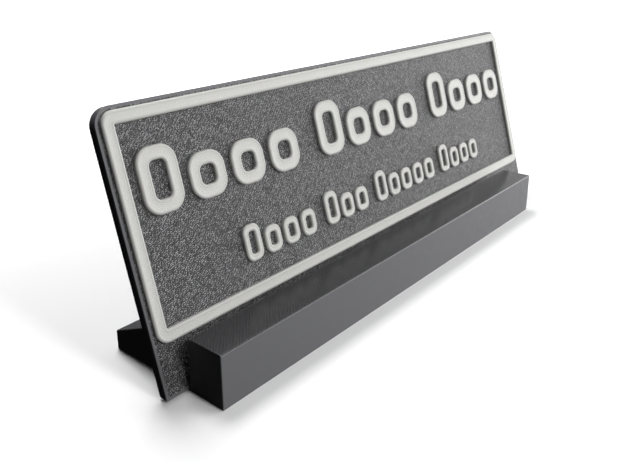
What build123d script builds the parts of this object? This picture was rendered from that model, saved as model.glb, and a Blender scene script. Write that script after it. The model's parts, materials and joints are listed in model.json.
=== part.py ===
from build123d import *
from math import cos, radians, sin, tan
import os

# Desk name plate: a printed panel that leans in the open channel of a printed base.
# Millimetres. +X runs along the panel, +Y to the back, +Z up.
# The origin is on the desk, under the middle of the panel's width and of the base's depth.

# Panel: a flat sheet, square at its foot and round at its top corners
panel_width = 200.0
panel_height = 71.6
panel_thickness = 2.6
panel_corner_radius = 5.0
lean_angle = 16.0

# Base: a front rail, a channel with a thin floor and a sloping heel, all one section
base_length = 170.5
base_depth = 42.0
rail_depth = 11.8
rail_height = 15.0
ridge_height = 15.5
heel_height = 5.5
floor_thickness = 0.4
base_edge_radius = 0.5

# How the panel stands in the channel
panel_shift = 8.0
toe_clearance = 0.5
back_clearance = 0.15
seat_clearance = 0.05

# Border: a raised frame, with round outer corners, sharp inner ones and soft upper edges
relief_height = 1.0
relief_edge_radius = 0.6
border_stroke = 3.4
border_side_margin = 1.25
border_top_margin = 1.25
border_foot = 13.4
border_outer_radius = 3.5

# Letter blanks: open raised frames, one for each letter's place, in two rows of words.
# A tall one starts each word. Strokes and gaps are shares of the row's letter width, and corners
# are shares of the shorter side that they round.
name_words = (4, 4, 4)
name_tall_height = 17.0
name_low_height = 12.4
name_inset = 2.6
name_stroke_share = 0.3
title_words = (4, 3, 5, 4)
title_tall_height = 10.3
title_low_height = 7.8
title_length_share = 0.71
title_stroke_share = 0.32
letter_gap_share = 0.2
word_gap_share = 0.78
blank_outer_corner_share = 0.38
blank_inner_corner_share = 0.33

# The height that the two rows leave free in the field lies below, between and above them
gap_below_share = 0.26
gap_between_share = 0.45

# Where the panel's lower front edge stands
lean = radians(lean_angle)
toe_y = rail_depth + toe_clearance - base_depth / 2
toe_z = floor_thickness + seat_clearance
panel_front = Plane(origin=(0, toe_y, toe_z), x_dir=(1, 0, 0), z_dir=(0, -cos(lean), sin(lean)))

# The field inside the border, measured up the panel's front from its lower edge
field_width = panel_width - 2 * (border_side_margin + border_stroke)
field_foot = border_foot + border_stroke
field_height = panel_height - border_top_margin - border_stroke - field_foot


def channel_wall_y(height):
    """Place of the channel's slanted rear wall, which runs along the panel's back, at a height."""
    reach_back = (panel_thickness + back_clearance) / cos(lean)
    return toe_y + reach_back + (height - toe_z) * tan(lean)


def make_base():
    """One section of rail, channel and heel, drawn across the base and extruded along it."""
    front_y = -base_depth / 2
    rear_y = base_depth / 2
    rail_rear_y = front_y + rail_depth
    rail_front_top = (front_y, rail_height)
    rail_rear_top = (rail_rear_y, rail_height)
    ridge_top = (channel_wall_y(ridge_height), ridge_height)
    heel_top = (rear_y, heel_height)
    section = make_face(
        Polyline(
            (front_y, 0),
            rail_front_top,
            rail_rear_top,
            (rail_rear_y, floor_thickness),
            (channel_wall_y(floor_thickness), floor_thickness),
            ridge_top,
            heel_top,
            (rear_y, 0),
            close=True,
        )
    )
    soft_corners = [
        section.vertices().sort_by_distance((*corner, 0))[0]
        for corner in (rail_front_top, rail_rear_top, ridge_top, heel_top)
    ]
    section = fillet(soft_corners, base_edge_radius)
    base = extrude(Plane.YZ * section, base_length / 2, both=True)
    return Pos(X=-panel_shift) * base


def make_panel():
    """Sheet behind the front plane, its foot trimmed level so that it stands flat in the channel."""
    trim = panel_thickness * tan(lean)
    sheet = Pos(Y=(panel_height - trim) / 2) * Rectangle(panel_width, panel_height + trim)
    sheet = fillet(sheet.vertices().group_by(Axis.Y)[-1], panel_corner_radius)
    panel = extrude(panel_front * sheet, -panel_thickness)
    return split(panel, Plane.XY.offset(toe_z), keep=Keep.TOP)


def raise_frame(frame):
    """Flat frame raised by the relief's height, with soft edges round its top."""
    raised = extrude(frame, relief_height)
    return fillet(raised.edges().group_by(Axis.Z)[-1], relief_edge_radius)


def make_border():
    """Raised frame round the field, a stroke wide on all four sides."""
    outer_width = field_width + 2 * border_stroke
    outer_height = field_height + 2 * border_stroke
    frame = RectangleRounded(outer_width, outer_height, border_outer_radius)
    frame -= Rectangle(field_width, field_height)
    middle = field_foot + field_height / 2
    return panel_front * Pos(Y=middle) * raise_frame(frame)


def make_blank(width, height, stroke):
    """One letter's open frame, raised from the panel, with its foot at the origin's height."""
    hole_width = width - 2 * stroke
    hole_height = height - 2 * stroke
    frame = RectangleRounded(width, height, blank_outer_corner_share * min(width, height))
    frame -= RectangleRounded(hole_width, hole_height, blank_inner_corner_share * min(hole_width, hole_height))
    return Pos(Y=height / 2) * raise_frame(frame)


def make_blanks(words, tall_height, low_height, stroke_share, row_length, foot):
    """A row of blanks that is centred on the panel and takes its letter width from its length."""
    letter_gaps = sum(words) - len(words)
    word_gaps = len(words) - 1
    letter_widths = sum(words) + letter_gaps * letter_gap_share + word_gaps * word_gap_share
    width = row_length / letter_widths
    tall_blank = make_blank(width, tall_height, stroke_share * width)
    low_blank = make_blank(width, low_height, stroke_share * width)
    blanks = []
    middle = (width - row_length) / 2
    for word in words:
        for letter in range(word):
            blank = low_blank if letter else tall_blank
            blanks.append(panel_front * Pos(middle, foot) * blank)
            middle += width * (1 + letter_gap_share)
        middle += width * (word_gap_share - letter_gap_share)
    return blanks


free_height = field_height - name_tall_height - title_tall_height
title_foot = field_foot + gap_below_share * free_height
name_foot = title_foot + title_tall_height + gap_between_share * free_height
name_length = field_width - 2 * name_inset
title_length = title_length_share * name_length

pieces = {"base": make_base(), "name_panel": make_panel(), "border_frame": make_border()}
name_blanks = make_blanks(
    name_words, name_tall_height, name_low_height, name_stroke_share, name_length, name_foot
)
title_blanks = make_blanks(
    title_words, title_tall_height, title_low_height, title_stroke_share, title_length, title_foot
)
for row, blanks in (("name", name_blanks), ("title", title_blanks)):
    for number, blank in enumerate(blanks, start=1):
        pieces[f"{row}_blank_{number:02d}"] = blank

os.makedirs("parts", exist_ok=True)
for node, shape in pieces.items():
    export_step(shape, f"parts/{node}.step")
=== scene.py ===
import json
from math import atan2, cos, pi, radians, sin, tan

import bpy
import numpy as np
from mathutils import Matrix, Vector


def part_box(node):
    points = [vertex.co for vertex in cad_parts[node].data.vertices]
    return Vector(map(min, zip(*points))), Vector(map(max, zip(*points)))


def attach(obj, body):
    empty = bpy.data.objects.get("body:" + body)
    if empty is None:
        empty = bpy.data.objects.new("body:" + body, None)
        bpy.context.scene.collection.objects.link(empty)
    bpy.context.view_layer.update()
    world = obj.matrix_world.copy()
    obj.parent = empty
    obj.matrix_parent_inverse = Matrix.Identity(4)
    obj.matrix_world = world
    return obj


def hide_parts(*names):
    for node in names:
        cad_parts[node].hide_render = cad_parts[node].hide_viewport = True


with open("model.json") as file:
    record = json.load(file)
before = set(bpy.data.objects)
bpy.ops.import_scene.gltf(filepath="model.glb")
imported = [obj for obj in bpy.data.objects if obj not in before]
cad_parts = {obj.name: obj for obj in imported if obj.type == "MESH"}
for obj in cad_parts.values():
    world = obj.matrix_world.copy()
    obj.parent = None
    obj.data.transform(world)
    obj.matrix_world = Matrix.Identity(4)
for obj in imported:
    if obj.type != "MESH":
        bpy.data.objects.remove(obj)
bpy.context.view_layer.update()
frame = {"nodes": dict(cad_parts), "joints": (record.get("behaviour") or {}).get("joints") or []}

# Desk name plate, printed in PLA. Everything is in metres, and MM turns a size in millimetres into metres.
MM = 0.001

# What the printer lays down: layers, and lines that overlap by the part their round flanks leave free
LAYER = 0.2 * MM
LINE_WIDTH = 0.42 * MM
LINE_SPACING = LINE_WIDTH - LAYER * (1 - pi / 4)
PANEL_EDGE_LINES = 2
RELIEF_EDGE_LINES = 1
WALL_GROOVE = 0.035 * MM

# Base: the section's sizes, as the part has them
RAIL_DEPTH = 11.8 * MM
RAIL_HEIGHT = 15.0 * MM
RIDGE_HEIGHT = 15.5 * MM
HEEL_HEIGHT = 5.5 * MM
CHANNEL_FLOOR = 0.4 * MM
BACK_CLEARANCE = 0.15 * MM
BASE_EDGE_RADIUS = 0.5 * MM

# Panel and relief: radii, strokes and shares, as the part has them
PANEL_TOP_RADIUS = 5.0 * MM
BORDER_STROKE = 3.4 * MM
BORDER_OUTER_RADIUS = 3.5 * MM
RELIEF_EDGE_RADIUS = 0.6 * MM
NAME_STROKE_SHARE = 0.3
TITLE_STROKE_SHARE = 0.32
BLANK_OUTER_CORNER_SHARE = 0.38
BLANK_INNER_CORNER_SHARE = 0.33

# Small roundings that printing leaves where the part is sharp, and the least that any corner keeps
BASE_FOOT_RADIUS = 0.15 * MM
BASE_END_RADIUS = 0.25 * MM
CHANNEL_CORNER_RADIUS = 0.05 * MM
PANEL_FOOT_RADIUS = 0.4 * MM
PANEL_BACK_RADIUS = 0.15 * MM
BORDER_INNER_RADIUS = 0.2 * MM
LEAST_RADIUS = 0.05 * MM

# Printed stairs: the power that rounds their noses, and the part at each end of a stair that is left out
NOSE_POWER = 4
STAIR_END = 0.01

# How nearly a face of the base points up, as a cosine, to count as level or as the rail's top
LEVEL = 0.99
# On the rail, the upper part of its rounded edges takes the top's darker colour too: painted shade that
# damps their highlight
RAIL_PAINTED_SHADE_LEVEL = 0.6

# How finely round shapes are divided, the edges that stay sharp in the shading, and the steps round an edge
ARC_STEPS = 14
EDGE_STEPS = 7
GROOVE_STEPS = 6
STAIR_STEPS = 6
SHARP_ANGLE = radians(40)
QUARTER_TURN = np.linspace(0, pi / 2, EDGE_STEPS + 1)

# Places of a piece's finishes in its list of materials
WALL, TOP, BED, STAIRS = range(4)

# The plate's own axes: along the panel, up its slope (the way it lifts out) and out of its front
PLATE_UP = np.array(frame["joints"][0]["axis"])
PLATE_OUT = np.array((0, -PLATE_UP[2], PLATE_UP[1]))
PLATE_AXES = np.array(((1, 0, 0), PLATE_UP, PLATE_OUT))
LEAN = atan2(PLATE_UP[1], PLATE_UP[2])


def plate_span(node):
    """Lowest and highest reach of a CAD node along the plate's own axes."""
    mesh = frame["nodes"][node].data
    points = np.empty(len(mesh.vertices) * 3, np.float32)
    mesh.vertices.foreach_get("co", points)
    along = points.reshape(-1, 3) @ PLATE_AXES.T
    return along.min(axis=0), along.max(axis=0)


def channel_wall_y(height):
    """Place of the channel's rear wall, which runs along the panel's back, at a height."""
    wall_out = plate_span("name_panel")[0][2] - BACK_CLEARANCE
    return (height * sin(LEAN) - wall_out) / cos(LEAN)


# The base's places, from the frame
(LEFT_X, FRONT_Y, _), (RIGHT_X, REAR_Y, _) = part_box("base")
RAIL_REAR_Y = FRONT_Y + RAIL_DEPTH
RIDGE_Y = channel_wall_y(RIDGE_HEIGHT)


# Shapes


def rounded_outlines(low, high, radii, insets):
    """Rounded rectangles, one for each inset, as closed lines that run anticlockwise.

    Each corner is a quarter circle about a centre that lies one radius inside its two sides. The four
    corners share a radius, or each has its own. An inset moves the sides inwards and shortens the radius by
    as much, down to a nearly sharp corner.
    """
    insets = np.asarray(insets, float)[:, None]
    low, high = np.broadcast_arrays(np.atleast_2d(low), np.atleast_2d(high))
    signs = np.array(((1, 1), (-1, 1), (-1, -1), (1, -1)))
    turn = (np.arange(4)[:, None] + np.linspace(0, 1, ARC_STEPS + 1)) * pi / 2
    radius = np.maximum(radii - insets, LEAST_RADIUS)[:, :, None]
    half = ((high - low) / 2 - insets)[:, None, :]
    centre = ((high + low) / 2)[:, None, :] + signs * (half - radius)
    spoke = np.stack((np.cos(turn), np.sin(turn)), axis=-1)
    points = centre[:, :, None, :] + radius[:, :, :, None] * spoke
    return points.reshape(len(insets), -1, 2)


def rounded_corner(before, corner, after, radius):
    """Circular arc that rounds a corner.

    It is a conic from one tangent point to the other that the corner pulls, with the weight of a circle: the
    sine of half the corner's angle.
    """
    to_before = (before - corner) / np.linalg.norm(before - corner)
    to_after = (after - corner) / np.linalg.norm(after - corner)
    half_sine = np.sqrt((1 - to_before @ to_after) / 2)
    reach = radius * np.sqrt(1 - half_sine**2) / half_sine
    t = np.linspace(0, 1, ARC_STEPS + 1)[:, None]
    weights = (1 - t) ** 2, 2 * t * (1 - t) * half_sine, t**2
    ends = corner + reach * to_before, corner, corner + reach * to_after
    return sum(w * p for w, p in zip(weights, ends)) / sum(weights)


def wall_line_profile(shoulder, lines):
    """Inset and height of the closed lines that edge a top face, from its outer side inwards.

    The shoulder is a quarter circle of its radius. After it the height follows a cosine bead for each half
    line, so that a groove lies between two lines.
    """
    insets = shoulder * (1 - np.cos(QUARTER_TURN))
    heights = shoulder * (np.sin(QUARTER_TURN) - 1)
    half_lines = 2 * lines - 1
    across = np.linspace(0, half_lines / 2, GROOVE_STEPS * half_lines + 1)[1:]
    grooves = -WALL_GROOVE * (1 - np.abs(np.cos(across * pi)))
    return np.append(insets, shoulder + across * LINE_WIDTH), np.append(heights, grooves)


def stair_lift(along):
    """Height of the printed stairs on a slope over its straight line, at a place counted in stairs.

    Each stair rises steeply to its nose and falls along its tread, and a power mean of the two rounds the
    nose.
    """
    slope = atan2(RIDGE_HEIGHT - HEEL_HEIGHT, REAR_Y - RIDGE_Y)
    nose = LAYER * cos(slope)
    nose_place = sin(slope) ** 2
    part = np.clip(along % 1, STAIR_END, 1 - STAIR_END)
    rise = nose_place / part
    fall = (1 - nose_place) / (1 - part)
    return nose * (rise**NOSE_POWER + fall**NOSE_POWER) ** (-1 / NOSE_POWER) - nose / 2


def ring_column(places, outlines):
    """One place for each ring, repeated for all the ring's points, as a coordinate to join to theirs."""
    return np.broadcast_to(places[:, None, None], outlines.shape[:2] + (1,))


def plate_rings(outlines, places):
    """Outlines that are drawn on the panel's front, each moved out of it to its own place."""
    return np.concatenate((outlines, ring_column(places, outlines)), axis=-1) @ PLATE_AXES


def ring_faces(rings, joined):
    """Strips of four-sided faces from each ring to the next, and from the last to the first if joined."""
    count, around = rings.shape[:2]
    strips = count if joined else count - 1
    here = np.arange(around)
    beside = (here + 1) % around
    ring = np.arange(strips)[:, None] * around
    onward = (np.arange(1, strips + 1) % count)[:, None] * around
    faces = np.stack((ring + here, ring + beside, onward + beside, onward + here), axis=-1)
    return faces.reshape(-1, 4).tolist()


# Pieces


def make_piece(name, node, body, rings, finishes, strip_finish, cap_finish=()):
    """Piece whose surface is strips of faces between closed rings of points.

    Flat faces close the first and the last ring where two cap finishes are given. Otherwise these rings are
    joined.
    """
    count, around = rings.shape[:2]
    faces = ring_faces(rings, joined=not cap_finish)
    finish = np.broadcast_to(strip_finish, (len(faces) // around, around)).ravel()
    if cap_finish:
        first = np.arange(around)
        last = first + (count - 1) * around
        faces += [first[::-1].tolist(), last.tolist()]
        finish = np.append(finish, cap_finish)
    mesh = bpy.data.meshes.new(name)
    mesh.from_pydata(rings.reshape(-1, 3), [], faces)
    for material in finishes:
        mesh.materials.append(material)
    mesh.polygons.foreach_set("material_index", finish.astype(np.int32))
    mesh.shade_smooth()
    mesh.set_sharp_from_angle(angle=SHARP_ANGLE)
    piece = bpy.data.objects.new(name, mesh)
    bpy.context.scene.collection.objects.link(piece)
    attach(piece, body)
    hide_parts(node)


def base_section():
    """The base's section as a closed line of points (y, z), and how far the printed stairs lift each off it.

    The lift is zero except on the heel's slope.
    """
    corners = np.array((
        (FRONT_Y, 0),
        (REAR_Y, 0),
        (REAR_Y, HEEL_HEIGHT),
        (RIDGE_Y, RIDGE_HEIGHT),
        (channel_wall_y(CHANNEL_FLOOR), CHANNEL_FLOOR),
        (RAIL_REAR_Y, CHANNEL_FLOOR),
        (RAIL_REAR_Y, RAIL_HEIGHT),
        (FRONT_Y, RAIL_HEIGHT),
    ))
    foot, edge, channel = BASE_FOOT_RADIUS, BASE_EDGE_RADIUS, CHANNEL_CORNER_RADIUS
    radii = (foot, foot, edge, edge, channel, channel, edge, edge)
    before = np.roll(corners, 1, axis=0)
    after = np.roll(corners, -1, axis=0)
    arcs = [rounded_corner(*corner) for corner in zip(before, corners, after, radii)]
    up_to_heel, from_ridge = arcs[:3], arcs[3:]
    low, high = up_to_heel[-1][-1], from_ridge[0][0]
    stairs = round((high[1] - low[1]) / LAYER)
    along = np.linspace(0, stairs, stairs * STAIR_STEPS + 1)[1:-1]
    slope = low + (along / stairs)[:, None] * (high - low)
    section = np.concatenate((*up_to_heel, slope, *from_ridge))
    lift = np.zeros(len(section))
    start = len(up_to_heel) * (ARC_STEPS + 1)
    lift[start:start + len(slope)] = stair_lift(along)
    return section, lift


def make_base(wall, top, bed, stairs):
    """Base: its section, with printed stairs on the heel's slope, carried along its length.

    Near each end the section shrinks by the versine of a quarter turn while the length grows by its sine,
    which rounds the end's edge.
    """
    section, lift = base_section()
    tangent = np.roll(section, -1, axis=0) - np.roll(section, 1, axis=0)
    normal = np.stack((tangent[:, 1], -tangent[:, 0]), axis=-1)
    normal /= np.linalg.norm(normal, axis=1, keepdims=True)
    inset = BASE_END_RADIUS * (1 - np.cos(QUARTER_TURN))
    to_end = BASE_END_RADIUS * (1 - np.sin(QUARTER_TURN))
    insets = np.append(inset[::-1], inset)
    places = np.append(LEFT_X + to_end[::-1], RIGHT_X - to_end)
    outlines = section + (lift - insets[:, None])[:, :, None] * normal
    rings = np.concatenate((ring_column(places, outlines), outlines), axis=-1)

    facing_up = (normal[:, 1] + np.roll(normal[:, 1], -1)) / 2
    on_rail = section[:, 0] < RAIL_REAR_Y
    on_stairs = (lift != 0) | (np.roll(lift, -1) != 0)
    # The rail's top, with the upper part of its rounded edges, takes a darker colour than the walls: painted
    # shade
    top_and_painted_shade_edges = (facing_up > LEVEL) | (on_rail & (facing_up > RAIL_PAINTED_SHADE_LEVEL))
    # The heel's stairs take a darker colour than the walls: painted shade
    finish = np.select((on_stairs, top_and_painted_shade_edges, facing_up < -LEVEL), (STAIRS, TOP, BED), WALL)
    finishes = (wall, top, bed, stairs)
    make_piece("printed_base", "base", "base", rings, finishes, finish, (WALL, WALL))


def make_panel(wall, front, bed):
    """Panel: its outline carried from back to front, with a round back edge.

    Closed lines run round the front. The foot is cut level, so the outline's lower side rises with depth by
    the tangent of the lean.
    """
    low, high = plate_span("name_panel")
    line_insets, line_heights = wall_line_profile(LINE_WIDTH / 2, PANEL_EDGE_LINES)
    insets = np.append(PANEL_BACK_RADIUS * (1 - np.sin(QUARTER_TURN)), line_insets)
    back_places = low[2] + PANEL_BACK_RADIUS * (1 - np.cos(QUARTER_TURN))
    places = np.append(back_places, high[2] + line_heights)
    foot = low[1] + (high[2] - places) * tan(LEAN)
    lows = np.stack((np.full_like(foot, low[0]), foot), axis=-1)
    radii = np.repeat((PANEL_TOP_RADIUS, PANEL_FOOT_RADIUS), 2)
    rings = plate_rings(rounded_outlines(lows, high[:2], radii, insets), places)
    finishes = (wall, front, bed)
    make_piece("printed_panel", "name_panel", "plate", rings, finishes, WALL, (BED, TOP))


def make_raised_frame(name, node, stroke, outer_radius, inner_radius, wall, fill):
    """Raised frame: rings climb its outer wall, round its soft edge, cross its top and go down its hole."""
    low, high = plate_span(node)
    line_insets, line_heights = wall_line_profile(RELIEF_EDGE_RADIUS, RELIEF_EDGE_LINES)
    insets = np.append(0, line_insets)
    heights = np.append(low[2], high[2] + line_heights)
    outer = rounded_outlines(low[:2], high[:2], outer_radius, insets)
    inner = rounded_outlines(low[:2] + stroke, high[:2] - stroke, inner_radius, -insets[::-1])
    rings = plate_rings(np.concatenate((outer, inner)), np.append(heights, heights[::-1]))
    # Only the strip across the top takes the fill; the walls and rounded edge take a darker white, painted
    # shade
    crosses_top = np.arange(len(rings)) == len(insets) - 1
    finish = np.where(crosses_top, TOP, WALL)[:, None]
    make_piece(name, node, "plate", rings, (wall, fill), finish)


def make_letter_blank(node, stroke_share, wall, fill):
    """Letter blank: a raised frame whose stroke and corners are shares of its width and height."""
    low, high = plate_span(node)
    size = (high - low)[:2]
    stroke = stroke_share * size[0]
    outer_radius = BLANK_OUTER_CORNER_SHARE * size.min()
    inner_radius = BLANK_INNER_CORNER_SHARE * (size - 2 * stroke).min()
    name = node.replace("blank", "letter_blank")
    make_raised_frame(name, node, stroke, outer_radius, inner_radius, wall, fill)


# Materials

# Colours, matched to the photograph's greys under the stage's light
BLACK = "#636366"
# The stairs' colour is darker than the walls' black: painted shade on a slope that faces away from the front
# light
BLACK_STAIRS_PAINTED_SHADE = "#3c3c3e"
# The rail top's colours are darker than the walls' black, painted shade on the top; the lighter crest colour
# is a painted highlight on its lines
BLACK_TOP_PAINTED_SHADE_CREST = "#373739"
BLACK_TOP_PAINTED_SHADE_GROOVE = "#2f2f30"
# Panel fill: the light crest colour is a painted highlight on the ridges, the near-black groove colour
# painted shade between them
BLACK_FILL_PAINTED_HIGHLIGHT = "#b8b8b9"
BLACK_FILL_PAINTED_SHADE = "#0e0e0f"
# The white relief's walls and rounded edges take a darker white than its top: painted shade
WHITE_WALL_PAINTED_SHADE = "#bdbdb9"
# White fill: the crest colour is a painted highlight on the ridges, the groove colour painted shade between
# them
WHITE_FILL_PAINTED_HIGHLIGHT = "#d0d0cd"
WHITE_FILL_PAINTED_SHADE = "#bbbbb6"
PAPER = "#f5f5f5"

# PLA's refraction and plain gloss, and the detail of all noise, with the range that most of it lies in
PLA_IOR = 1.46
PLAIN_GLOSS = 0.5
NOISE_DETAIL = 2.0
NOISE_RANGE = (0.3, 0.7)

# A colour mix node's inputs for its share and two colours, and its output
MIX_SHARE, MIX_FIRST, MIX_SECOND = 0, 6, 7
MIXED = 2

# Turns of the frame into the printed faces: the plate was printed lying on its back, the base standing
LYING = (LEAN - pi / 2, 0, 0)
STANDING = (0, 0, 0)
DIAGONAL = pi / 4

# The folded line, in cells: its levels of folding, the frame's origin on it, the length of one run, half a
# cell, and the most by which the numbers of two joined cells differ, with room for rounding
FOLD_LEVELS = 9
FOLD_START = (319.0, 192.0, 0.0)
RUN_CELLS = 2
HALF_CELL = 0.5
JOINED = 1.5

# Fill: its ridges' depth on panel and relief, the height where a crest's painted highlight starts, the size
# of a patch, and how much patches, runs and directions vary, in the painted highlight's brightness as shares
# of a material's spread, and in roughness. The dimmer direction is painted shade on runs that lie across the
# light
PANEL_FILL_DEPTH = 0.13 * MM
RELIEF_FILL_DEPTH = 0.03 * MM
FILL_PAINTED_HIGHLIGHT_START = 0.5
FILL_PATCH = 0.9 * MM
PATCH_SPREAD = 0.5
RUN_SPREAD = 2.2
DIRECTION_PAINTED_SHADE_SPREAD = 1.5
FILL_ROUGHNESS_SPREAD = 0.05

# Walls: half a layer in layers, the power that rounds a ridge, its depth and strength, the patches' size,
# tint and spread of roughness, and the gloss of stairs, which scatter light
HALF_LAYER = 0.5
WALL_RIDGE_POWER = 0.5
WALL_RIDGE_DEPTH = 0.03 * MM
WALL_RIDGE_STRENGTH = 0.6
WALL_PATCH = 2.5 * MM
WALL_TINT = 0.12
WALL_ROUGHNESS_SPREAD = 0.04
STAIR_GLOSS = 0.15

# Rail's top: its lines, drawn two lines wide because one is too fine to show, and the streaks along them
TOP_LINE = 2 * LINE_SPACING
TOP_LINE_DEPTH = 0.004 * MM
TOP_GLOSS = 0.8
STREAK_WIDTH = 0.8 * MM
STREAK_LENGTH = 60 * MM
STREAK_SHARE = 0.8
STREAK_ROUGHNESS_SPREAD = 0.02

# Bed side: the grain of the printer's bed
BED_GRAIN = 0.5 * MM
BED_GRAIN_DEPTH = 0.05 * MM
BED_GRAIN_STRENGTH = 0.8
BED_ROUGHNESS_SPREAD = 0.05


def linear(hex_colour):
    """Linear colour, with full alpha, of an sRGB hex value."""
    srgb = np.array([int(hex_colour[i:i + 2], 16) / 255 for i in (1, 3, 5)])
    return (*np.where(srgb <= 0.04045, srgb / 12.92, ((srgb + 0.055) / 1.055) ** 2.4), 1.0)


def add(tree, kind, *values, named=None, **settings):
    """Adds a node, sets its properties, and sets or links its inputs by order or by name."""
    made = tree.nodes.new(kind)
    for setting, value in settings.items():
        setattr(made, setting, value)
    for key, value in [*enumerate(values), *(named or {}).items()]:
        if isinstance(value, bpy.types.Node):
            value = value.outputs[0]
        if isinstance(value, bpy.types.NodeSocket):
            tree.links.new(value, made.inputs[key])
        else:
            made.inputs[key].default_value = value
    return made


def new_material(name):
    """Material without nodes, and its node tree to fill."""
    material = bpy.data.materials.new(name)
    material.use_nodes = True
    material.node_tree.nodes.clear()
    return material, material.node_tree


def folded_line(tree, place):
    """The one long line that folds over the whole face (a space-filling curve of 512 by 512 cells).

    Gives its height, 0 to 1, a chance value, 0 to 1, that holds for a short run of the line, and whether the
    run lies in the first of its two directions.

    A cell's number along the line comes from its two coordinates, level by level. The nearest neighbours
    to the side and above or below are numbered with it, in the vector's other two parts. A neighbour is
    joined where its number differs by one, and the height falls as a parabola with the distance from the
    line through the cells.
    """
    cell = add(tree, "ShaderNodeVectorMath", place, operation="FLOOR")
    inside = add(tree, "ShaderNodeVectorMath", place, cell, operation="SUBTRACT")
    inside = add(tree, "ShaderNodeVectorMath", inside, (-HALF_CELL, -HALF_CELL, 0), operation="ADD")
    inside = add(tree, "ShaderNodeVectorMath", inside, (1, 1, 0), operation="MULTIPLY")
    side = add(tree, "ShaderNodeVectorMath", inside, operation="SIGN")
    beside = add(tree, "ShaderNodeVectorMath", cell, side, operation="ADD")
    column, row, _ = add(tree, "ShaderNodeSeparateXYZ", cell).outputs
    next_column, next_row, _ = add(tree, "ShaderNodeSeparateXYZ", beside).outputs
    x = add(tree, "ShaderNodeCombineXYZ", column, next_column, column)
    y = add(tree, "ShaderNodeCombineXYZ", row, row, next_row)
    number = (0, 0, 0)
    for level in reversed(range(FOLD_LEVELS)):
        size = 2**level
        # Which quarter of the present square the cell lies in, right or left and up or down
        right = add(tree, "ShaderNodeVectorMath", x, (1 / size,) * 3, operation="MULTIPLY")
        right = add(tree, "ShaderNodeVectorMath", right, operation="FLOOR")
        up = add(tree, "ShaderNodeVectorMath", y, (1 / size,) * 3, operation="MULTIPLY")
        up = add(tree, "ShaderNodeVectorMath", up, operation="FLOOR")
        both = add(tree, "ShaderNodeVectorMath", right, up, operation="MULTIPLY")
        # The line visits lower left, upper left, upper right and lower right, numbered from 0 to 3
        quarter = add(tree, "ShaderNodeVectorMath", right, (3,) * 3, up, operation="MULTIPLY_ADD")
        quarter = add(tree, "ShaderNodeVectorMath", both, (-2,) * 3, quarter, operation="MULTIPLY_ADD")
        number = add(tree, "ShaderNodeVectorMath", quarter, (size**2,) * 3, number, operation="MULTIPLY_ADD")
        x = add(tree, "ShaderNodeVectorMath", right, (-size,) * 3, x, operation="MULTIPLY_ADD")
        y = add(tree, "ShaderNodeVectorMath", up, (-size,) * 3, y, operation="MULTIPLY_ADD")
        # The lower right quarter is turned over, and both lower quarters swap their two directions
        turned = add(tree, "ShaderNodeVectorMath", right, both, operation="SUBTRACT")
        back = add(tree, "ShaderNodeVectorMath", x, (-2,) * 3, (size - 1,) * 3, operation="MULTIPLY_ADD")
        x = add(tree, "ShaderNodeVectorMath", turned, back, x, operation="MULTIPLY_ADD")
        back = add(tree, "ShaderNodeVectorMath", y, (-2,) * 3, (size - 1,) * 3, operation="MULTIPLY_ADD")
        y = add(tree, "ShaderNodeVectorMath", turned, back, y, operation="MULTIPLY_ADD")
        total = add(tree, "ShaderNodeVectorMath", x, y, operation="ADD")
        difference = add(tree, "ShaderNodeVectorMath", x, y, operation="SUBTRACT")
        x = add(tree, "ShaderNodeVectorMath", up, difference, y, operation="MULTIPLY_ADD")
        y = add(tree, "ShaderNodeVectorMath", total, x, operation="SUBTRACT")
    here, at_side, above = add(tree, "ShaderNodeSeparateXYZ", number).outputs
    offset = add(tree, "ShaderNodeVectorMath", inside, operation="ABSOLUTE")
    radius = add(tree, "ShaderNodeVectorMath", offset, operation="LENGTH").outputs["Value"]
    offset_x, offset_y, _ = add(tree, "ShaderNodeSeparateXYZ", offset).outputs
    distances = []
    for neighbour, across in ((at_side, offset_y), (above, offset_x)):
        joined = add(tree, "ShaderNodeMath", here, neighbour, JOINED, operation="COMPARE")
        nearer = add(tree, "ShaderNodeMath", across, radius, operation="SUBTRACT")
        distances.append(add(tree, "ShaderNodeMath", joined, nearer, radius, operation="MULTIPLY_ADD"))
    distance = add(tree, "ShaderNodeMath", *distances, operation="MINIMUM")
    square = add(tree, "ShaderNodeMath", distance, distance, operation="MULTIPLY")
    fall = -1 / HALF_CELL**2
    height = add(tree, "ShaderNodeMath", square, fall, 1.0, operation="MULTIPLY_ADD", use_clamp=True)
    run = add(tree, "ShaderNodeMath", here, 1 / RUN_CELLS, operation="MULTIPLY")
    run = add(tree, "ShaderNodeMath", run, operation="FLOOR")
    chance = add(tree, "ShaderNodeTexWhiteNoise", named={"W": run}, noise_dimensions="1D")
    first_way = add(tree, "ShaderNodeMath", *distances, operation="LESS_THAN")
    return height, chance.outputs["Value"], first_way


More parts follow.
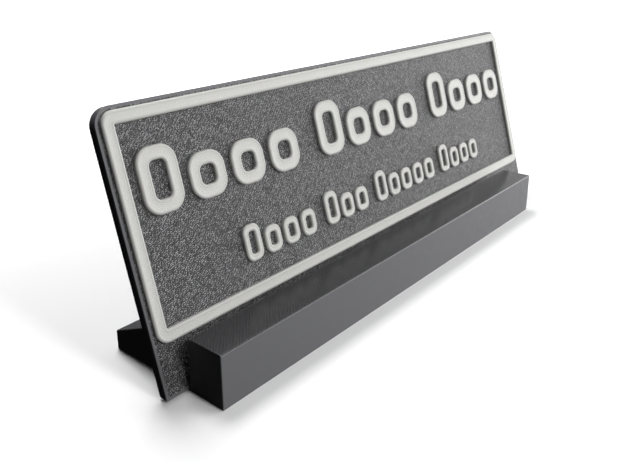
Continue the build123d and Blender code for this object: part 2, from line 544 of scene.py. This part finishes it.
def fill_material(name, painted_crest_colour, painted_groove_colour, spread, roughness, depth):
    """PLA top layer, filled by one long line that folds back and forth at 45 degrees.

    The laid line leaves round ridges, which look like weave. Their crests take a light colour, a painted
    highlight, and the grooves between them a dark one, painted shade. The painted highlight differs at
    random from patch to patch and from run to run, and is painted dimmer on runs in the second of the two
    directions, as shade on runs that lie across the light, all by the spread.
    """
    material, tree = new_material(name)
    where = add(tree, "ShaderNodeTexCoord").outputs["Object"]
    turn = (LYING[0], 0, DIAGONAL)
    cells = (1 / LINE_SPACING,) * 3
    place = add(tree, "ShaderNodeMapping", where, FOLD_START, turn, cells, vector_type="POINT")
    height, chance, first_way = folded_line(tree, place)
    uneven = add(
        tree, "ShaderNodeTexNoise", where, named={"Scale": 1 / FILL_PATCH, "Detail": NOISE_DETAIL}
    ).outputs[0]
    painted_highlight_share = add(
        tree, "ShaderNodeMapRange", height, FILL_PAINTED_HIGHLIGHT_START, 1.0, 0.0, 1.0, interpolation_type="SMOOTHSTEP"
    )
    for measure, limits, share in (
        (uneven, NOISE_RANGE, PATCH_SPREAD),
        (chance, (0.0, 1.0), RUN_SPREAD),
        (first_way, (0.0, 1.0), DIRECTION_PAINTED_SHADE_SPREAD),
    ):
        brightness = add(tree, "ShaderNodeMapRange", measure, *limits, 1.0 - share * spread, 1.0)
        painted_highlight_share = add(tree, "ShaderNodeMath", painted_highlight_share, brightness, operation="MULTIPLY")
    colour = add(
        tree, "ShaderNodeMix", data_type="RGBA",
        named={MIX_SHARE: painted_highlight_share, MIX_FIRST: linear(painted_groove_colour), MIX_SECOND: linear(painted_crest_colour)},
    )
    smoother, rougher = roughness - FILL_ROUGHNESS_SPREAD, roughness + FILL_ROUGHNESS_SPREAD
    rough = add(tree, "ShaderNodeMapRange", uneven, *NOISE_RANGE, smoother, rougher)
    bump = add(tree, "ShaderNodeBump", named={"Height": height, "Distance": depth, "Strength": 1.0})
    shader = add(
        tree, "ShaderNodeBsdfPrincipled",
        named={"Base Color": colour.outputs[MIXED], "Roughness": rough, "Normal": bump, "IOR": PLA_IOR},
    )
    add(tree, "ShaderNodeOutputMaterial", shader)
    return material


def wall_material(name, colour, roughness, turn, gloss=PLAIN_GLOSS):
    """PLA side wall, a stack of printed layers: fine level ridges that stretch a highlight across them."""
    material, tree = new_material(name)
    where = add(tree, "ShaderNodeTexCoord").outputs["Object"]
    place = add(tree, "ShaderNodeMapping", where, (0, 0, 0), turn, (1 / LAYER,) * 3, vector_type="POINT")
    layer = add(tree, "ShaderNodeSeparateXYZ", place).outputs[2]
    ridge = add(tree, "ShaderNodeMath", layer, HALF_LAYER, operation="PINGPONG")
    ridge = add(tree, "ShaderNodeMath", ridge, WALL_RIDGE_POWER, operation="POWER")
    uneven = add(
        tree, "ShaderNodeTexNoise", place, named={"Scale": LAYER / WALL_PATCH, "Detail": NOISE_DETAIL}
    )
    tint = add(
        tree, "ShaderNodeMix", data_type="RGBA", blend_type="MULTIPLY",
        named={MIX_SHARE: WALL_TINT, MIX_FIRST: linear(colour), MIX_SECOND: uneven.outputs["Color"]},
    )
    smoother, rougher = roughness - WALL_ROUGHNESS_SPREAD, roughness + WALL_ROUGHNESS_SPREAD
    rough = add(tree, "ShaderNodeMapRange", uneven, *NOISE_RANGE, smoother, rougher)
    bump = add(
        tree, "ShaderNodeBump",
        named={"Height": ridge, "Distance": WALL_RIDGE_DEPTH, "Strength": WALL_RIDGE_STRENGTH},
    )
    shader = add(
        tree, "ShaderNodeBsdfPrincipled",
        named={
            "Base Color": tint.outputs[MIXED], "Roughness": rough, "Normal": bump, "IOR": PLA_IOR,
            "Specular IOR Level": gloss,
        },
    )
    add(tree, "ShaderNodeOutputMaterial", shader)
    return material


def top_material(name, painted_crest_colour, painted_groove_colour, roughness):
    """PLA top face of the base: straight lines at 45 degrees, ironed nearly flat, with a satin gloss."""
    material, tree = new_material(name)
    where = add(tree, "ShaderNodeTexCoord").outputs["Object"]
    turned = add(
        tree, "ShaderNodeMapping", where, (0, 0, 0), (0, 0, DIAGONAL), (1, 1, 1), vector_type="POINT"
    )
    across = add(tree, "ShaderNodeSeparateXYZ", turned).outputs[0]
    ridge = add(tree, "ShaderNodeMath", across, 2 * pi / TOP_LINE, operation="MULTIPLY")
    ridge = add(tree, "ShaderNodeMath", ridge, operation="SINE")
    streaks = (1 / STREAK_WIDTH, 1 / STREAK_LENGTH, 1)
    streak_place = add(
        tree, "ShaderNodeMapping", turned, (0, 0, 0), (0, 0, 0), streaks, vector_type="POINT"
    )
    streak = add(tree, "ShaderNodeTexNoise", streak_place, named={"Scale": 1.0, "Detail": NOISE_DETAIL})
    # Lighter crests paint a highlight on the lines, and both colours, darker than the walls' black, paint
    # shade on the top
    painted_highlight_share = add(tree, "ShaderNodeMapRange", ridge, -1.0, 1.0, 0.0, 1.0)
    tint = add(
        tree, "ShaderNodeMix", data_type="RGBA",
        named={MIX_SHARE: painted_highlight_share, MIX_FIRST: linear(painted_groove_colour), MIX_SECOND: linear(painted_crest_colour)},
    )
    smoother, rougher = roughness - STREAK_ROUGHNESS_SPREAD, roughness + STREAK_ROUGHNESS_SPREAD
    rough = add(tree, "ShaderNodeMapRange", streak, *NOISE_RANGE, smoother, rougher)
    relief = add(tree, "ShaderNodeMath", streak, STREAK_SHARE, ridge, operation="MULTIPLY_ADD")
    bump = add(tree, "ShaderNodeBump", named={"Height": relief, "Distance": TOP_LINE_DEPTH, "Strength": 1.0})
    shader = add(
        tree, "ShaderNodeBsdfPrincipled",
        named={
            "Base Color": tint.outputs[MIXED], "Roughness": rough, "Normal": bump, "IOR": PLA_IOR,
            "Specular IOR Level": TOP_GLOSS,
        },
    )
    add(tree, "ShaderNodeOutputMaterial", shader)
    return material


def bed_material(name, colour, roughness):
    """PLA face that lay on the printer's grained bed: flat, with the bed's fine pebble pressed into it."""
    material, tree = new_material(name)
    where = add(tree, "ShaderNodeTexCoord").outputs["Object"]
    grain = add(tree, "ShaderNodeTexNoise", where, named={"Scale": 1 / BED_GRAIN, "Detail": NOISE_DETAIL})
    smoother, rougher = roughness - BED_ROUGHNESS_SPREAD, roughness + BED_ROUGHNESS_SPREAD
    rough = add(tree, "ShaderNodeMapRange", grain, *NOISE_RANGE, smoother, rougher)
    bump = add(
        tree, "ShaderNodeBump",
        named={"Height": grain, "Distance": BED_GRAIN_DEPTH, "Strength": BED_GRAIN_STRENGTH},
    )
    shader = add(
        tree, "ShaderNodeBsdfPrincipled",
        named={"Base Color": linear(colour), "Roughness": rough, "Normal": bump, "IOR": PLA_IOR},
    )
    add(tree, "ShaderNodeOutputMaterial", shader)
    return material


# Stage

# Paper sweep: the flat disc's radius, the bend's, the wall's height, the number of its sides, and how far
# from the object it starts to glow and glows in full
FLOOR_FLAT = 2.0
FLOOR_BEND = 1.5
FLOOR_TOP = 4.0
FLOOR_SIDES = 96
FLOOR_GLOW_START = 0.14
FLOOR_GLOW_FULL = 0.42

# Softboxes, which all face the object: name, place, width, height and power in watts
SOFTBOXES = (
    ("softbox_front", (-0.03, -1.20, 0.66), 0.25, 0.9, 10.4),
    ("softbox_side", (0.28, -0.36, 0.20), 0.2, 0.2, 0.45),
    ("softbox_right", (0.60, -0.26, 0.14), 0.4, 0.4, 1.7),
    ("softbox_above", (0.10, 0.35, 0.90), 0.35, 0.35, 6.5),
    ("softbox_behind", (0.30, 0.60, 0.62), 0.5, 0.5, 3.0),
)

# Room: the way to its bright side, the cosines to that way where its glow starts and is full, and the glows
BRIGHT_WAY = Vector((0.87, -0.45, 0.18)).normalized()
ROOM_GLOW_START = 0.3
ROOM_GLOW_FULL = 0.95
ROOM_DARK = 0.01
ROOM_BRIGHT = 1.0

# Camera, solved from straight edges in the photograph: sensor and lens in millimetres, shifts as shares of
# the sensor's width, its place, how far it looks down, and its turn from +X
SENSOR_WIDTH = 36.0
FOCAL_LENGTH = 39.725
SHIFT_X = -0.01425
SHIFT_Y = -0.08756
CAMERA_PLACE = (-0.18262, -0.12439, 0.1035)
LOOK_DOWN = radians(18.666)
LOOK_TURN = radians(39.758)
CLIP_START = 0.01


def paper_material(name):
    """White paper, matt, which glows by itself away from the object and so fades into plain white there."""
    material, tree = new_material(name)
    where = add(tree, "ShaderNodeTexCoord").outputs["Object"]
    reach = add(tree, "ShaderNodeVectorMath", where, operation="LENGTH").outputs["Value"]
    glow = add(
        tree, "ShaderNodeMapRange", reach, FLOOR_GLOW_START, FLOOR_GLOW_FULL, 0.0, 1.0,
        interpolation_type="SMOOTHSTEP",
    )
    shader = add(
        tree, "ShaderNodeBsdfPrincipled",
        named={
            "Base Color": linear(PAPER), "Roughness": 1.0, "Specular IOR Level": 0.0,
            "Emission Color": (1, 1, 1, 1), "Emission Strength": glow,
        },
    )
    add(tree, "ShaderNodeOutputMaterial", shader)
    return material


def make_floor():
    """Paper sweep: a flat disc under the object, whose rim bends up through a quarter circle into a wall.

    It takes shadows near the object and stays out of the plastic's reflections.
    """
    bend = np.linspace(0, pi / 2, ARC_STEPS + 1)
    radius = np.append(FLOOR_FLAT + FLOOR_BEND * np.sin(bend), FLOOR_FLAT + FLOOR_BEND)[:, None]
    height = np.append(FLOOR_BEND * (1 - np.cos(bend)), FLOOR_TOP)[:, None]
    # The rings run clockwise, so that the faces point inwards and up
    turn = -np.arange(FLOOR_SIDES) * 2 * pi / FLOOR_SIDES
    points = np.broadcast_arrays(radius * np.cos(turn), radius * np.sin(turn), height)
    rings = np.stack(points, axis=-1)
    disc = np.arange(FLOOR_SIDES)[::-1].tolist()
    mesh = bpy.data.meshes.new("floor")
    mesh.from_pydata(rings.reshape(-1, 3), [], [disc] + ring_faces(rings, joined=False))
    mesh.shade_smooth()
    mesh.materials.append(paper_material("floor_paper"))
    floor = bpy.data.objects.new("floor", mesh)
    floor.visible_diffuse = False
    floor.visible_glossy = False
    floor.visible_shadow = False
    bpy.context.scene.collection.objects.link(floor)


def make_softbox(name, place, width, height, power):
    """Softbox that faces the object."""
    lamp = bpy.data.lights.new(name, "AREA")
    lamp.shape = "RECTANGLE"
    lamp.size = width
    lamp.size_y = height
    lamp.energy = power
    softbox = bpy.data.objects.new(name, lamp)
    softbox.location = place
    softbox.rotation_euler = Vector(place).to_track_quat("Z", "Y").to_euler()
    bpy.context.scene.collection.objects.link(softbox)


def make_room():
    """Room that glows on the right, in front, and is nearly dark elsewhere."""
    world = bpy.data.worlds.new("studio")
    world.use_nodes = True
    tree = world.node_tree
    tree.nodes.clear()
    way = add(tree, "ShaderNodeTexCoord").outputs["Generated"]
    facing = add(tree, "ShaderNodeVectorMath", way, BRIGHT_WAY, operation="DOT_PRODUCT").outputs["Value"]
    glow = add(
        tree, "ShaderNodeMapRange", facing, ROOM_GLOW_START, ROOM_GLOW_FULL, ROOM_DARK, ROOM_BRIGHT,
        interpolation_type="SMOOTHSTEP",
    )
    background = add(tree, "ShaderNodeBackground", (1, 1, 1, 1), glow)
    add(tree, "ShaderNodeOutputWorld", background)
    bpy.context.scene.world = world


def make_camera():
    """Camera at the photograph's viewpoint, level, with the lens shift that its framing needs."""
    lens = bpy.data.cameras.new("camera")
    lens.sensor_width = SENSOR_WIDTH
    lens.lens = FOCAL_LENGTH
    lens.shift_x = SHIFT_X
    lens.shift_y = SHIFT_Y
    lens.clip_start = CLIP_START
    camera = bpy.data.objects.new("camera", lens)
    camera.location = CAMERA_PLACE
    camera.rotation_euler = (pi / 2 - LOOK_DOWN, 0, LOOK_TURN - pi / 2)
    bpy.context.scene.collection.objects.link(camera)
    bpy.context.scene.camera = camera


# The part

base_wall = wall_material("black_pla_layers_standing", BLACK, roughness=0.45, turn=STANDING)
# The top's colours are darker than the walls': painted shade, with a painted highlight on its lines' crests
base_top_painted_shade = top_material("black_pla_ironed_top_painted_shade", BLACK_TOP_PAINTED_SHADE_CREST, BLACK_TOP_PAINTED_SHADE_GROOVE, roughness=0.22)
# The stairs are a darker black than the walls: painted shade
base_stairs_painted_shade = wall_material(
    "black_pla_stairs_painted_shade", BLACK_STAIRS_PAINTED_SHADE, roughness=0.5, turn=STANDING, gloss=STAIR_GLOSS
)
bed_face = bed_material("black_pla_bed_side", BLACK, roughness=0.5)
panel_wall = wall_material("black_pla_layers", BLACK, roughness=0.45, turn=LYING)
# Its crests carry a painted highlight and its grooves painted shade
panel_fill_painted_light_and_shade = fill_material(
    "black_pla_folded_fill_painted_light_and_shade", BLACK_FILL_PAINTED_HIGHLIGHT, BLACK_FILL_PAINTED_SHADE,
    spread=0.4, roughness=0.34, depth=PANEL_FILL_DEPTH,
)
# The relief's walls and rounded edges are a darker white than its top: painted shade
relief_wall_painted_shade = wall_material("white_pla_layers_painted_shade", WHITE_WALL_PAINTED_SHADE, roughness=0.5, turn=LYING)
# Its crests carry a painted highlight and its grooves painted shade
relief_fill_painted_light_and_shade = fill_material(
    "white_pla_folded_fill_painted_light_and_shade", WHITE_FILL_PAINTED_HIGHLIGHT, WHITE_FILL_PAINTED_SHADE,
    spread=0.2, roughness=0.5, depth=RELIEF_FILL_DEPTH,
)

make_base(base_wall, base_top_painted_shade, bed_face, base_stairs_painted_shade)
make_panel(panel_wall, panel_fill_painted_light_and_shade, bed_face)
make_raised_frame(
    "raised_border", "border_frame", BORDER_STROKE, BORDER_OUTER_RADIUS, BORDER_INNER_RADIUS,
    relief_wall_painted_shade, relief_fill_painted_light_and_shade,
)
for row, stroke_share in (("name", NAME_STROKE_SHARE), ("title", TITLE_STROKE_SHARE)):
    for node in sorted(n for n in frame["nodes"] if n.startswith(row + "_blank")):
        make_letter_blank(node, stroke_share, relief_wall_painted_shade, relief_fill_painted_light_and_shade)

make_floor()
make_room()
for softbox in SOFTBOXES:
    make_softbox(*softbox)
make_camera()
bpy.context.scene.view_settings.view_transform = "Standard"
